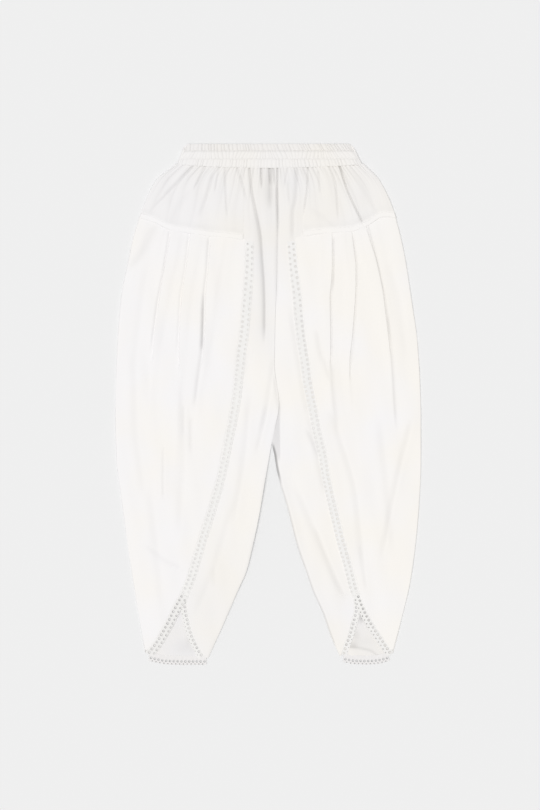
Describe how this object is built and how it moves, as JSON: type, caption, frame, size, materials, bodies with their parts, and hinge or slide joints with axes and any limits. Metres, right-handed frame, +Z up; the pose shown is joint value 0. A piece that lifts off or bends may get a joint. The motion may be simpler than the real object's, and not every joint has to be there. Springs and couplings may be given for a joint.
{
  "type": "tulip shalwar",
  "caption": "Loose trousers laid flat: gathered elastic waist, hip yokes, knife pleats, and petal fronts that cross over and taper to narrow lace-edged hems.",
  "frame": {"origin": "centre of the laid garment's box, on the surface that it lies on", "axes": "+Y towards the waist, +X to the right of someone looking down on the front, +Z up from the surface through the front"},
  "size_m": [0.5557, 0.9482, 0.0089],
  "materials": {
    "cotton": "matt off-white plain weave",
    "lace": "matt off-white cotton lace"
  },
  "bodies": {
    "root": {"waistband": "cotton", "yoke_left": "cotton", "yoke_right": "cotton", "front_left": "cotton", "front_right": "cotton", "leg_left": "cotton", "leg_right": "cotton", "lace_long_left": "lace", "lace_long_right": "lace", "lace_petal_left": "lace", "lace_petal_right": "lace", "lace_inner_left": "lace", "lace_inner_right": "lace", "lace_hem_left": "lace", "lace_hem_right": "lace"}
  },
  "joints": []
}
